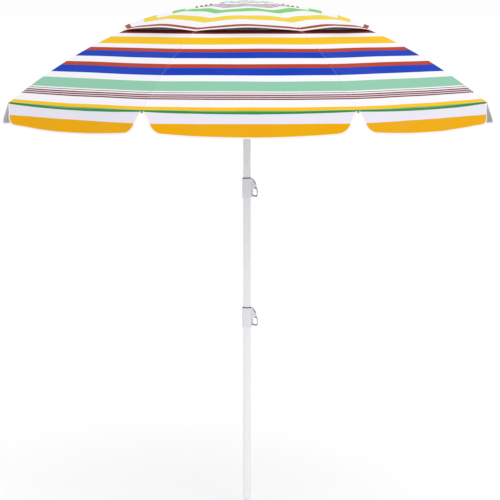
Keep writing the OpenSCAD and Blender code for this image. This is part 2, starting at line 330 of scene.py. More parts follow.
@dataclass(frozen=True)
class Dyes:
    """The printer's inks and cloth colours; the flap's white and the red band under the cap are darkened as
    painted shade.
    """

    white: Colour = srgb(238, 237, 243)
    # Painted shade: the flap's white, darker because a hanging flap gets less light from above.
    shaded_white: Colour = srgb(224, 221, 233)
    yellow: Colour = srgb(240, 189, 10)
    deep_yellow: Colour = srgb(228, 164, 0)
    pale_yellow: Colour = srgb(233, 205, 52)
    red: Colour = srgb(180, 60, 28)
    deep_red: Colour = srgb(160, 66, 38)
    # Painted shadow: the printed red band under the cap's hem, darkened for the cap's shade.
    red_in_cap_shadow: Colour = srgb(118, 32, 20)
    blue: Colour = srgb(2, 56, 180)
    mint: Colour = srgb(140, 196, 168)
    green: Colour = srgb(44, 138, 66)
    light_green: Colour = srgb(120, 200, 110)
    wine: Colour = srgb(122, 52, 52)
    coating: Colour = srgb(150, 152, 156)


DYES = Dyes()


@dataclass(frozen=True)
class Stripes:
    """A printed run of stripes.

    Args:
        start: Where the first stripe starts, in metres inward from the hem.
        bands: Each stripe's far edge, in metres, and its colour.
    """

    start: float
    bands: tuple[Stop, ...]

    def paint(self, finish: Finish, run: Value) -> Value:
        """The stripes' colour along a run.

        Args:
            finish: The material being written.
            run: The distance inward from the hem, in metres.

        Returns:
            The colour.
        """
        end = self.bands[-1][0]
        stops, edge = [], self.start
        for far, colour in self.bands:
            stops.append(((edge - self.start) / (end - self.start), colour))
            edge = far
        share = (run - self.start) / (end - self.start)
        ramp = finish.node("ShaderNodeValToRGB", {"stops": stops, "interpolation": "CONSTANT"}, {0: share})
        return finish.out(ramp, 0)


def thin_lines(first: float, pitch: float, width: float, count: int) -> list[Stop]:
    """A group of thin wine-red lines on white.

    Args:
        first: Where the first line starts, in metres.
        pitch: Distance from one line to the next.
        width: Width of a line.
        count: How many lines.

    Returns:
        The bands, ending with the last line.
    """
    bands = []
    for line in range(count):
        start = first + line * pitch
        bands += [(start, DYES.white), (start + width, DYES.wine)]
    return bands


PANEL_STRIPES = Stripes(-0.030, (
    (0.0072, DYES.green), (0.0240, DYES.yellow),
    *thin_lines(0.0598, 0.0102, 0.0060, 4),
    (0.1025, DYES.white), (0.1525, DYES.mint), (0.1852, DYES.white), (0.2276, DYES.blue),
    (0.2515, DYES.red), (0.2853, DYES.white), (0.3251, DYES.blue), (0.3489, DYES.red),
    # The band ending at 0.4900 is the red band, darkened as painted shadow of the cap.
    (0.3770, DYES.white), (0.4287, DYES.yellow), (0.4592, DYES.white), (0.4900, DYES.red_in_cap_shadow),
    (0.5400, DYES.white), (0.6200, DYES.mint), (0.8000, DYES.white)))

CAP_STRIPES = Stripes(-0.040, (
    (0.0100, DYES.white), (0.0275, DYES.deep_red), (0.0750, DYES.white), (0.1230, DYES.pale_yellow),
    (0.1800, DYES.white), (0.2280, DYES.light_green),
    *thin_lines(0.2644, 0.0180, 0.0085, 4),
    (0.3600, DYES.white), (0.3850, DYES.mint), (0.5200, DYES.white)))

# The flap's white is painted shade.
FLAP_STRIPES = Stripes(-0.010, ((0.0390, DYES.shaded_white), (0.0950, DYES.deep_yellow)))


@dataclass
class PrintedCloth(Finish):
    """Woven polyester with stripes printed across it, plain weave, faint creases and a soft sheen.

    Attributes:
        stripes: The printed run.
        crease: How deep the creases are, in metres.
    """

    THREAD = 0.0011
    STITCH = 0.006
    stripes: Stripes = field(kw_only=True)
    crease: float = field(kw_only=True)

    def write(self) -> None:
        """Writes the nodes."""
        run, across = self.attribute("run"), self.attribute("across")
        ink = self.stripes.paint(self, run + (self.noise(900.0, 1.0) - 0.5) * 0.0009)
        weave = (across * (TURN / self.THREAD)).sine() * (run * (TURN / self.THREAD)).sine() * 0.5 + 0.5
        fading = self.noise(5.5, 3.0)
        soiling = self.noise(26.0, 4.0, 0.6, point=self.stretch(1.0, 1.0, 2.0))
        shaded = self.mix((fading - 0.42) * 0.22, ink, self.mix(0.35, ink, (0.30, 0.29, 0.34)))
        grained = self.mix(weave * 0.10, shaded, self.mix(0.35, shaded, (0.0, 0.0, 0.0)))
        seam = self.attribute("seam")
        stitch = (seam > 0.88) * (((run + across) % self.STITCH) < 0.0038)
        colour = self.mix(stitch * 0.45, grained, (0.86, 0.85, 0.84))
        puckers = self.noise(3.0, 3.0, 0.55, point=self.join(across * 9.0, run * 26.0, 0.0))
        folds = self.noise(2.6, 2.0, point=self.join(across * 3.0, run * 1.2, 0.0))
        near_seam = self.attribute("pucker")
        tall = self.bump(folds * 0.6 + puckers * near_seam, self.crease, 0.55)
        fine = self.bump(weave * 0.6 + soiling * 0.4, 0.00016, 0.35, tall)
        sewn = self.bump(1.0 - stitch, 0.0006, 0.6, fine)
        self.surface(colour, 0.66 + (soiling - 0.5) * 0.16, sewn, Sheen_Weight=0.01, Sheen_Roughness=0.5,
                     Specular_IOR_Level=0.08)


@dataclass
class CoatedUnderside(Finish):
    """The sun-blocking grey coating on the cloth's underside, with the weave showing through."""

    def write(self) -> None:
        """Writes the nodes."""
        run, across = self.attribute("run"), self.attribute("across")
        weave = (across * 5200.0).sine() * (run * 5200.0).sine() * 0.5 + 0.5
        blotch = self.noise(9.0, 4.0, 0.55)
        flecks = self.noise(420.0, 2.0)
        colour = self.mix((blotch - 0.35) * 0.5, DYES.coating, srgb(172, 174, 178))
        worn = self.mix((flecks > 0.64) * 0.20, colour, srgb(205, 206, 208))
        normal = self.bump(weave * 0.6 + blotch * 0.4, 0.0002, 0.4)
        self.surface(worn, 0.42 + (blotch - 0.5) * 0.2, normal, Metallic=0.15, Specular_IOR_Level=0.45)


@dataclass
class PowderCoat(Finish):
    """Gloss powder coat on a tube or wire: orange peel, a little handling grime and fine rubs along it.

    Attributes:
        grime: How strongly handling shows.
        gloss: Roughness of the clean coat.
    """

    grime: float = 0.10
    gloss: float = 0.24

    def write(self) -> None:
        """Writes the nodes."""
        peel = self.noise(260.0, 2.0)
        rubs = self.noise(2.2, 5.0, 0.65, point=self.stretch(90.0, 90.0, 1.6))
        cloud = self.noise(7.0, 3.0)
        tint = self.mix((cloud - 0.38) * self.grime * 2.0, self.colour, shade(self.colour, 0.72))
        rubbed = self.mix((rubs > 0.66) * self.grime, tint, shade(self.colour, 0.55))
        normal = self.bump(peel * 0.7 + rubs * 0.3, 0.00018, 0.22)
        self.surface(rubbed, self.gloss + (rubs - 0.5) * 0.22 + (cloud - 0.5) * 0.10, normal,
                     Coat_Weight=0.35, Coat_Roughness=0.12, Specular_IOR_Level=0.5)


@dataclass
class MouldedPlastic(Finish):
    """Injection-moulded plastic: a fine spark texture, faint flow marks and scuffs.

    Attributes:
        dullness: Roughness of the clean plastic.
    """

    dullness: float = 0.36

    def write(self) -> None:
        """Writes the nodes."""
        spark = self.noise(1400.0, 2.0)
        flow = self.noise(34.0, 3.0, point=self.stretch(1.0, 1.0, 0.25))
        scuffs = self.noise(160.0, 4.0, 0.7, point=self.stretch(1.0, 1.0, 3.0))
        tint = self.mix((flow - 0.4) * 0.25, self.colour, shade(self.colour, 0.86))
        scuffed = self.mix((scuffs > 0.66) * 0.30, tint, shade(self.colour, 1.10))
        normal = self.bump(spark * 0.5 + flow * 0.5, 0.00022, 0.35)
        self.surface(scuffed, self.dullness + (scuffs - 0.5) * 0.25, normal,
                     Coat_Weight=0.10, Coat_Roughness=0.2)


@dataclass
class PlatedSteel(Finish):
    """Zinc-plated steel: fine drawing lines, cloudy plating and dull spots."""

    def write(self) -> None:
        """Writes the nodes."""
        drawn = self.noise(3.0, 4.0, 0.6, point=self.stretch(420.0, 420.0, 10.0))
        cloud = self.noise(120.0, 3.0)
        spots = self.noise(650.0, 2.0)
        tint = self.mix((cloud - 0.35) * 0.5, self.colour, shade(self.colour, 0.7))
        spotted = self.mix((spots > 0.68) * 0.35, tint, shade(self.colour, 0.45))
        self.surface(spotted, 0.28 + (drawn - 0.5) * 0.3 + (cloud - 0.5) * 0.15,
                     self.bump(drawn, 0.00008, 0.4), Metallic=0.95)


@dataclass
class Rubber(Finish):
    """Dull dark rubber with bloom in its low spots."""

    def write(self) -> None:
        """Writes the nodes."""
        grain = self.noise(900.0, 3.0)
        bloom = self.noise(80.0, 4.0, 0.6)
        pale = tuple(min(1.0, 2.1 * c + 0.01) for c in self.colour)
        tint = self.mix((bloom - 0.4) * 0.6, self.colour, pale)
        self.surface(tint, 0.72 + (bloom - 0.5) * 0.2, self.bump(grain, 0.00012, 0.5))


@dataclass
class BindingTape(Finish):
    """Woven white binding tape folded over a hem and sewn down."""

    CORD = 0.0016
    STITCH = 0.005

    def write(self) -> None:
        """Writes the nodes."""
        run, across = self.attribute("run"), self.attribute("across")
        rib = (across * (TURN / self.CORD)).sine() * 0.5 + 0.5
        cloud = self.noise(40.0, 3.0)
        stitch = (self.attribute("seam") > 0.5) * ((across % self.STITCH) < 0.0033)
        tint = self.mix((cloud - 0.35) * 0.3 + rib * 0.06, self.colour, srgb(205, 200, 196))
        thread = self.mix(stitch * 0.35, tint, srgb(226, 205, 150))
        normal = self.bump(rib * 0.5 + (1.0 - stitch) * 0.5, 0.0004, 0.5)
        self.surface(thread, 0.74 + (cloud - 0.5) * 0.12, normal, Sheen_Weight=0.12)


class Mesh:
    """A mesh put together from points and faces, with its run and across distances."""

    FACTS = ("run", "across", "seam", "pucker")

    def __init__(self, name: str) -> None:
        """Starts an empty mesh.

        Args:
            name: The piece's name.
        """
        self.name = name
        self.points: list[tuple[float, float, float]] = []
        self.facts: dict[str, list[float]] = {fact: [] for fact in self.FACTS}
        self.faces: list[tuple[int, ...]] = []
        self.slots: list[int] = []

    def point(self, at: Sequence[float], run: float = 0.0, across: float = 0.0, seam: float = 0.0,
              pucker: float = 0.0) -> int:
        """Adds a point with its cloth facts and returns its number."""
        self.points.append(tuple(at))
        for fact, number in zip(self.FACTS, (run, across, seam, pucker)):
            self.facts[fact].append(number)
        return len(self.points) - 1

    def face(self, corners: Sequence[int], slot: int = 0) -> None:
        """Adds a face in a material slot."""
        self.faces.append(tuple(corners))
        self.slots.append(slot)

    def sheet(self, rows: Sequence[Sequence[int]], slot: int, flip: bool = False) -> None:
        """Fills the squares between rows of points.

        Args:
            rows: Rows of point numbers, all the same length.
            slot: The material slot.
            flip: Whether the faces look the other way.
        """
        for low, high in zip(rows, rows[1:]):
            for i in range(len(low) - 1):
                square = (low[i], low[i + 1], high[i + 1], high[i])
                self.face(tuple(reversed(square)) if flip else square, slot)

    def shell(self, top: Sequence[Sequence[int]], thickness: float, facing: Vector = UP) -> None:
        """Makes a closed thin cloth from its upper points: slot 0 above and at the edge, slot 1 below.

        Args:
            top: Rows of point numbers of the upper side.
            thickness: Cloth thickness in metres.
            facing: The unit direction from the underside to the upper side.
        """
        under = []
        for row in top:
            under.append([self.point(Vector(self.points[n]) - facing * thickness,
                                     **{fact: self.facts[fact][n] for fact in self.FACTS}) for n in row])
        self.sheet(top, 0)
        self.sheet(under, 1, flip=True)
        high, low = self._rim(top), self._rim(under)
        for i in range(len(high) - 1):
            self.face((high[i + 1], high[i], low[i], low[i + 1]))

    @staticmethod
    def _rim(rows: Sequence[Sequence[int]]) -> list[int]:
        """The point numbers once round the edge of a grid."""
        return [*rows[0], *(row[-1] for row in rows[1:]),
                *rows[-1][-2::-1], *(row[0] for row in rows[-2::-1])]

    def sweep(self, path: Sequence[Vector], rings: Sequence[Sequence[Vector]], slot: int) -> None:
        """Closes a tube through rings of points, with flat ends.

        Args:
            path: The centres, which set the distance along.
            rings: The points around each centre.
            slot: The material slot.
        """
        along, rows = 0.0, []
        for i, ring in enumerate(rings):
            if i:
                along += (path[i] - path[i - 1]).length
            rows.append([self.point(p, across=along, seam=float(j in (0, len(ring) // 2)))
                         for j, p in enumerate(ring)])
        count = len(rings[0])
        for low, high in zip(rows, rows[1:]):
            for j in range(count):
                self.face((low[j], low[(j + 1) % count], high[(j + 1) % count], high[j]), slot)
        self.face(tuple(reversed(rows[0])), slot)
        self.face(tuple(rows[-1]), slot)

    def build(self, materials: Sequence[Material]) -> Piece:
        """Makes the object.

        Args:
            materials: The slots' materials.

        Returns:
            The object, linked to the scene.
        """
        data = bpy.data.meshes.new(self.name)
        data.from_pydata(self.points, [], self.faces)
        for fact in self.FACTS:
            data.attributes.new(fact, "FLOAT", "POINT").data.foreach_set("value", self.facts[fact])
        for material in materials:
            data.materials.append(material)
        data.polygons.foreach_set("material_index", self.slots)
        edit = bmesh.new()
        edit.from_mesh(data)
        bmesh.ops.recalc_face_normals(edit, faces=edit.faces)
        edit.to_mesh(data)
        edit.free()
        data.shade_smooth()
        data.set_sharp_from_angle(angle=SHARP_CLOTH)
        return put(self.name, data)


def joint(name: str) -> dict[str, Any]:
    """The frame's joint of that name."""
    return next(j for j in frame["joints"] if j["name"] == name)


@dataclass
class CanopyForm:
    """The curve that the eight ribs give the cloth, read from the frame.

    Attributes:
        rim_bow: How far a panel's hem runs out past the straight line between rib tips.
        cap_overhang: How far the cap's hem hangs past its solid's edge.
        cap_bow: How far the cap's hem runs out past its straight line.
        cap_billow: How high the cap stands up at the middle of its hem.
        crown_peak: How high the cap is drawn up at the crown.
        radius: Radius of the rib tips.
        rim_z: Height of the rim at the rib tips.
        rise: How much higher the ribs' curve is on the axis than at the rim.
        apex_z: Height of that curve on the axis.
        vent_r: Radius of the vent's edge.
        cap_r: Radius of the cap's hem at the ribs.
        cap_in_r: Radius of the hole in the cap.
        peak_r: Radius at which the cap starts to rise to the crown.
        seam_gap: Half the gap between two panels under their seam.
    """

    rim_bow: float = 0.0105
    cap_overhang: float = 0.005
    cap_bow: float = 0.020
    cap_billow: float = 0.0195
    crown_peak: float = 0.016
    radius: float = field(init=False)
    rim_z: float = field(init=False)
    rise: float = field(init=False)
    apex_z: float = field(init=False)
    vent_r: float = field(init=False)
    cap_r: float = field(init=False)
    cap_in_r: float = field(init=False)
    peak_r: float = 0.300
    seam_gap: float = 0.0009

    def __post_init__(self) -> None:
        """Reads the rim, the hinge ring and the two hems from the frame."""
        tip = Vector(joint("hem_hang_1")["pos_m"])
        hinge = Vector(joint("rib_fold_1")["pos_m"])
        self.radius = hypot(tip.x, tip.y)
        hinge_r = hypot(hinge.x, hinge.y)
        self.rim_z = tip.z
        self.rise = (hinge.z + 0.003 - tip.z) / (1 - (hinge_r / self.radius) ** 2)
        self.apex_z = tip.z + self.rise
        low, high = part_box("canopy_panel_6")
        self.vent_r = -high.y / cos(HALF)
        low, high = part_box("vent_panel_6")
        self.cap_r = -low.y / cos(HALF) + self.cap_overhang
        self.cap_in_r = -high.y / cos(HALF)

    def azimuth(self, rib: int) -> float:
        """Azimuth of rib 1 to 8 from +X, in radians."""
        return HALF + STEP * (rib - 1)

    def ridge(self, radius: float) -> float:
        """Height of the cloth's underside along a rib."""
        return self.apex_z - self.rise * (radius / self.radius) ** 2

    def half(self, radius: float) -> float:
        """Half the straight distance between two ribs at a radius."""
        return radius * sin(HALF)

    def peak(self, radius: float) -> float:
        """How much the cap is drawn up towards the crown at a radius."""
        return self.crown_peak * max(0.0, 1 - radius / self.peak_r) ** 2

    def slope(self, radius: float) -> float:
        """How steeply the cloth falls at a radius."""
        return 2 * self.rise * radius / self.radius ** 2

    def run_from(self, hem: float, radius: float) -> float:
        """Distance along a panel's middle.

        Args:
            hem: Radius of the hem's ring, where it starts.
            radius: The radius that it runs in to.

        Returns:
            The distance in metres.
        """
        total, steps = 0.0, 24
        for i in range(steps):
            a = radius + (hem - radius) * i / steps
            b = radius + (hem - radius) * (i + 1) / steps
            total += hypot((b - a) * cos(HALF), self.ridge(a) - self.ridge(b))
        return total

    def spot(self, azimuth: float, radius: float, u: float, height: float, out: float = 0.0) -> Vector:
        """A point of a panel, with u from -1 at its right-hand rib to 1, and out past the straight hem."""
        return polar(azimuth, radius * cos(HALF) + out, u * (self.half(radius) - self.seam_gap), height)


FORM = CanopyForm()


@dataclass
class Sewn:
    """What is sewn from the same cloths.

    Attributes:
        cloth: Printed cloth.
        coating: The grey underside.
        tape: Tape of its hems, pockets and ties.
    """

    cloth: Material
    coating: Material
    tape: Material


@dataclass
class Gores(Sewn):
    """The eight main panels and the eight panels of the cap over the vent.

    Attributes:
        cap_cloth: Printed cloth of the cap.
        rows: Steps of a main panel's mesh from the vent to the rim.
        columns: Steps of its mesh from rib to rib.
        cap_rows: Steps of a cap panel's mesh from the crown to its hem.
        cap_columns: Steps of its mesh from rib to rib.
        slack: How far the cloth stands up in its waves.
    """

    cap_cloth: Material
    rows: int = 56
    columns: int = 26
    cap_rows: int = 44
    cap_columns: int = 20
    slack: float = 0.0011

    def _ripple(self, rib: int, u: float, run: float) -> float:
        """Small waves of slack cloth, none at the ribs.

        Args:
            rib: The panel's number.
            u: -1 to 1 across the panel.
            run: Distance from the hem.

        Returns:
            How far the cloth stands up.
        """
        free = 1 - u * u
        wave = sin(9.0 * run + 1.7 * rib) * cos(3.1 * u + 0.9 * rib) \
            + 0.5 * sin(21.0 * run + 4.0 * u + rib)
        hem = exp(-run / 0.09)
        return self.slack * free * (0.6 * wave + 0.5 * hem * sin(7.5 * u + 2.3 * rib))

    def panel(self, rib: int) -> Piece:
        """One main panel, from the vent to the rim, between its rib and the next.

        Args:
            rib: The number of the rib on its right hand.

        Returns:
            The piece.
        """
        form, mesh = FORM, Mesh(f"panel_cloth_{rib}")
        middle = form.azimuth(rib) + HALF
        top = []
        for i in range(self.rows + 1):
            share = i / self.rows
            radius = form.vent_r + (form.radius - form.vent_r) * share
            row = []
            for j in range(self.columns + 1):
                u = -1 + 2 * j / self.columns
                bow = form.rim_bow * (1 - u * u) * max(0.0, (share - 0.45) / 0.55) ** 2
                fall = bow * form.slope(radius)
                run = form.run_from(form.radius, radius) - bow * 0.75
                lift = self._ripple(rib, u, run)
                at = form.spot(middle, radius, u, form.ridge(radius) + 0.001 - fall + lift, bow + lift * 0.6)
                edge = (1 - abs(u)) * form.half(radius)
                pucker = 0.15 + 0.85 * exp(-edge / 0.03) + 0.5 * exp(-max(0.0, run) / 0.02)
                row.append(mesh.point(at, run, u * form.half(radius), float(i == self.rows - 1), pucker))
            top.append(row)
        mesh.shell(top, CLOTH)
        piece = mesh.build((self.cloth, self.coating))
        self._fold(piece, rib, middle)
        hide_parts(f"canopy_panel_{rib}")
        length = form.run_from(form.radius, form.vent_r) + form.rim_bow * 1.25
        width, inner = 2 * form.half(form.radius), 2 * form.half(form.vent_r)
        length * (width + inner) / 2
        return piece

    def cap_panel(self, rib: int) -> Piece:
        """One panel of the cap that shades the vent, with its taped hem.

        Args:
            rib: The number of the rib on its right hand.

        Returns:
            The piece.
        """
        form, mesh = FORM, Mesh(f"cap_cloth_{rib}")
        middle = form.azimuth(rib) + HALF
        top = []
        for i in range(self.cap_rows + 1):
            share = i / self.cap_rows
            radius = form.cap_in_r + (form.cap_r - form.cap_in_r) * share
            row = []
            for j in range(self.cap_columns + 1):
                u = -1 + 2 * j / self.cap_columns
                free = 1 - u * u
                bow = form.cap_bow * free * max(0.0, (share - 0.4) / 0.6) ** 2
                billow = form.cap_billow * (radius / form.cap_r) ** 1.5 * free
                run = form.run_from(form.cap_r, radius)
                wave = 0.0012 * free * sin(24.0 * run + 5.0 * u + 1.3 * rib)
                height = form.ridge(radius) + 0.0024 + form.peak(radius) + billow + wave \
                    - bow * form.slope(radius)
                at = form.spot(middle, radius, u, height, bow)
                edge = (1 - abs(u)) * form.half(radius)
                pucker = 0.15 + 0.85 * exp(-edge / 0.02) + 0.6 * exp(-max(0.0, run + 0.02) / 0.015)
                row.append(mesh.point(at, run, u * form.half(radius), float(i == self.cap_rows - 1), pucker))
            top.append(row)
        mesh.shell(top, CLOTH)
        hem = [Vector(mesh.points[n]) for n in top[-1]]
        self._bind(mesh, hem, middle)
        piece = mesh.build((self.cap_cloth, self.coating, self.tape))
        self._fold(piece, rib, middle)
        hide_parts(f"vent_panel_{rib}")
        length = form.run_from(form.cap_r, form.cap_in_r) + form.cap_bow
        width, inner = 2 * form.half(form.cap_r), 2 * form.half(form.cap_in_r)
        width * 1.02
        1.03 * length * (width + inner) / 2
        return piece

    @staticmethod
    def _bind(mesh: Mesh, hem: Sequence[Vector], middle: float) -> None:
        """Folds the binding tape over the cap's hem.

        Args:
            mesh: The cap's panel.
            hem: Points along its hem.
            middle: Azimuth of the panel's middle.
        """
        facing, rings = polar(middle, 1.0, 0.0, 0.0), []
        for i, at in enumerate(hem):
            inward = UP.cross(heading(hem, i)).normalized()
            if inward.dot(facing) > 0:
                inward = -inward
            rings.append(oval(at + inward * 0.00186, inward * 0.0031, UP * 0.0008, 5))
        mesh.sweep(hem, rings, 2)

    def _fold(self, piece: Piece, rib: int, middle: float) -> None:
        """Bakes a panel's placement into its mesh.

        Args:
            piece: The panel.
            rib: The number of the rib on its right hand; not used.
            middle: Azimuth of the panel's middle.
        """
        start = FORM.spot(middle, FORM.radius, -1, FORM.rim_z)
        end = FORM.spot(middle, FORM.radius, 0, FORM.rim_z)
        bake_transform(piece)
        for vertex in piece.data.vertices:
            angle = atan2(vertex.co.y, vertex.co.x) - (middle - HALF)
            angle = (angle + pi) % TURN - pi
            min(1.0, max(0.0, angle / STEP))


@dataclass
class Valance(Sewn):
    """The loose flaps that hang from the rim, one to a panel, each sewn at the rim and free below.

    Attributes:
        drop: How far a flap hangs below the rim.
        short: How much shorter it is at the ribs.
        flare: How far it stands out from the plumb line.
        corner: Radius of its rounded corners.
        notch: Half the notch between two flaps, where the corner starts.
        rows: Steps of a half flap's mesh down it.
        columns: Steps of its mesh along it.
    """

    drop: float = 0.0795
    short: float = 0.010
    flare: float = radians(20.0)
    corner: float = 0.044
    notch: float = 0.0225
    rows: int = 16
    columns: int = 30

    def _reach(self, down: float) -> float:
        """How far the flap reaches from the panel's middle at a drop.

        Args:
            down: Distance below the rim, along the cloth.

        Returns:
            The half width there.
        """
        half = FORM.half(FORM.radius)
        straight = self.drop - self.corner
        if down <= straight:
            return half - 0.004 - (self.notch - 0.004) * (down / straight) ** 0.9
        bend = sqrt(max(0.0, self.corner ** 2 - (down - straight) ** 2))
        return half - self.notch - self.corner + bend

    def _at(self, rib: int, side: float, down: float, middle: float) -> Vector:
        """A point on the flap of a panel.

        Args:
            rib: The panel's number.
            side: Distance from the panel's middle, left of it positive.
            down: Distance below the rim.
            middle: Azimuth of the panel's middle.

        Returns:
            The point.
        """
        u = side / FORM.half(FORM.radius)
        bow = FORM.rim_bow * (1 - u * u)
        share = down / self.drop
        down = down * (1 - self.short / self.drop * u * u)
        wave = 0.0055 * share * sin(8.5 * u + 1.9 * rib) + 0.003 * share * sin(19.0 * u + 0.7 * rib)
        away = FORM.radius * cos(HALF) + bow + down * sin(self.flare) * (1 - 0.25 * share) + wave
        height = FORM.rim_z + 0.0012 - bow * FORM.slope(FORM.radius) \
            - down * cos(self.flare * (1 - 0.3 * share))
        return polar(middle, away, side, height)

    def half_flap(self, rib: int, side: Side) -> Piece:
        """Half of a panel's flap, from its middle to the notch at a rib.

        Args:
            rib: The rib that it gathers towards.
            side: Which way it runs from that rib.

        Returns:
            The piece.
        """
        panel = rib if side is Side.LEFT else (rib - 2) % RIBS + 1
        middle = FORM.azimuth(panel) + HALF
        mesh = Mesh(f"flap_{side.name.lower()}_{rib}")
        top = []
        for i in range(self.rows + 1):
            share = i / self.rows
            down = self.drop * sin(share * pi / 2)
            row = []
            for j in range(self.columns + 1):
                reach = self._reach(down) * (1 - (1 - j / self.columns) ** 1.3)
                along = -side.value * reach
                at = self._at(panel, along, down, middle)
                u = along / FORM.half(FORM.radius)
                run = down * (1 - self.short / self.drop * u * u) + 0.0070 * (1 - u * u)
                row.append(mesh.point(at, run, along, float(i == 1), 0.2))
            top.append(row)
        facing = polar(middle, 1.0, 0.0, 0.25).normalized()
        mesh.shell(top, CLOTH, facing)
        edge = [Vector(mesh.points[n]) for n in top[-1] + [row[-1] for row in reversed(top[:-1])]]
        self._tape(mesh, edge, facing)
        piece = mesh.build((self.cloth, self.coating, self.tape))
        chord = polar(middle, 0.0, 1.0, 0.0)
        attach(piece, f"hem_{rib}")
        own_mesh(piece)
        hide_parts(f"valance_{rib}")
        half = FORM.half(FORM.radius)
        0.93 * half * self.drop
        return piece

    def _tape(self, mesh: Mesh, edge: Sequence[Vector], facing: Vector) -> None:
        """Sews the binding tape round a flap's free edge.

        Args:
            mesh: The flap.
            edge: Points along its free edge, from its middle to the rim.
            facing: The way the flap faces.
        """
        rings, centres = [], []
        sign = 1.0 if facing.cross(heading(edge, 0)).dot(UP) > 0 else -1.0
        for i, at in enumerate(edge):
            inward = facing.cross(heading(edge, i)).normalized() * sign
            centres.append(at + inward * 0.0014 - facing * 0.00035)
            rings.append(oval(centres[-1], inward * 0.0030, facing * 0.0011, 5))
        mesh.sweep(centres, rings, 2)


@dataclass
class Seams(Sewn):
    """What is sewn to each rib: the felled seams over it, its tip pocket and its ties.

    Attributes:
        cap_cloth: Printed cloth of the cap.
        width: Width of a felled seam.
        rise: How high it stands up in its middle.
    """

    cap_cloth: Material
    width: float = 0.011
    rise: float = 0.0011

    @staticmethod
    def _sew(mesh: Mesh, rib: int, materials: Sequence[Material]) -> Piece:
        """Makes a mesh into a piece of the canopy that stays on its rib.

        Args:
            mesh: The mesh.
            rib: The rib's number.
            materials: The slots' materials.

        Returns:
            The piece.
        """
        piece = mesh.build(materials)
        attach(piece, f"rib_{rib}")
        return piece

    def strip(self, rib: int, name: str, inner: float, hem: float, material: Material) -> Piece:
        """A felled seam along a rib.

        Args:
            rib: The rib's number.
            name: The seam's name.
            inner: Radius of its inner end.
            hem: Radius of the hem that it ends at.
            material: The cloth that it is part of.

        Returns:
            The piece.
        """
        mesh, azimuth = Mesh(f"{name}_{rib}"), FORM.azimuth(rib)
        top, rows = [], 60
        profile = ((-1.0, -0.0004), (-0.82, 0.55), (-0.5, 0.9), (0.0, 1.0),
                   (0.5, 0.9), (0.82, 0.55), (1.0, -0.0004))
        for i in range(rows + 1):
            radius = inner + (hem - 0.001 - inner) * i / rows
            run = FORM.run_from(hem, radius)
            row = []
            for at, up in profile:
                offset = at * self.width / 2
                drop = abs(offset) * tan(HALF) * FORM.slope(radius)
                lift = 0.0026 + FORM.peak(radius) if material is self.cap_cloth else 0.0010
                spot = polar(azimuth, radius, offset, FORM.ridge(radius) + lift - drop + up * self.rise)
                row.append(mesh.point(spot, run, offset, float(abs(at) == 0.5), 0.8))
            top.append(row)
        mesh.shell(top, 0.0012)
        return self._sew(mesh, rib, (material, self.coating))

    def pocket(self, rib: int) -> Piece:
        """The sewn pocket under the rim that a rib's end sits in.

        Args:
            rib: The rib's number.

        Returns:
            The piece.
        """
        azimuth = FORM.azimuth(rib)
        side = polar(azimuth, 0.0, 1.0, 0.0)
        centres, rings, steps = [], [], 12
        for i in range(steps + 1):
            share = i / steps
            radius = FORM.radius - 0.052 + 0.049 * share
            swell = 0.75 + 0.25 * sin(share * pi)
            centres.append(polar(azimuth, radius, 0.0, FORM.ridge(radius) - 0.0030))
            rings.append(oval(centres[-1], side * (0.0072 * swell), UP * (0.0034 * swell), 7))
        mesh = Mesh(f"rib_pocket_{rib}")
        mesh.sweep(centres, rings, 0)
        return self._sew(mesh, rib, (self.tape,))

    def tie(self, rib: int, number: int, radius: float) -> Piece:
        """A loop of tape that holds the cloth down on a rib.

        Args:
            rib: The rib's number.
            number: Which tie along the rib.
            radius: Its distance from the pole.

        Returns:
            The piece.
        """
        mesh, rows, steps = Mesh(f"rib_tie_{rib}_{number}"), [], 20
        for t in (k * TURN / steps for k in range(steps)):
            row = []
            for depth, width in ((0.0, -0.0035), (0.0006, -0.0038), (0.0006, 0.0038), (0.0, 0.0035)):
                reach = 0.0023 + depth
                height = FORM.ridge(radius + width) - 0.0026 + sin(t) * (reach + 0.0008)
                spot = polar(FORM.azimuth(rib), radius + width, cos(t) * reach, height)
                row.append(mesh.point(spot, width, t * 0.004))
            rows.append(row)
        rows.append(rows[0])
        for low, high in zip(rows, rows[1:]):
            for j in range(4):
                mesh.face((low[j], low[(j + 1) % 4], high[(j + 1) % 4], high[j]))
        return self._sew(mesh, rib, (self.tape,))

    def build(self, rib: int) -> list[Piece]:
        """Everything sewn to one rib."""
        return [self.strip(rib, "panel_seam", FORM.cap_r - 0.06, FORM.radius, self.cloth),
                self.strip(rib, "cap_seam", FORM.cap_in_r + 0.012, FORM.cap_r, self.cap_cloth),
                self.pocket(rib),
                *(self.tie(rib, n, r) for n, r in enumerate((0.30, 0.55, 0.74), start=1))]


@dataclass
class Hardware:
    """The pole, collars, clips, crown, runner and wire frame, which keep their own shapes.

    Attributes:
        coats: The finish of each named part.
    """

    coats: dict[str, Material]

    def dress(self) -> None:
        """Gives every metal and plastic part its finish."""
        for name, piece in frame["nodes"].items():
            coat = self.coats.get(name.rstrip("0123456789").rstrip("_"))
            if coat is None:
                continue
            piece.data.materials.clear()
            piece.data.materials.append(coat)
            self._soften(piece)
        LOG.info("hardware dressed: %d finishes", len(self.coats))

    @staticmethod
    def _soften(piece: Piece) -> None:
        """Shades a turned or moulded part smoothly, keeping its real edges."""
        for polygon in piece.data.polygons:
            polygon.use_smooth = True
        if not piece.data.has_custom_normals:
            piece.data.set_sharp_from_angle(angle=SHARP_PART)


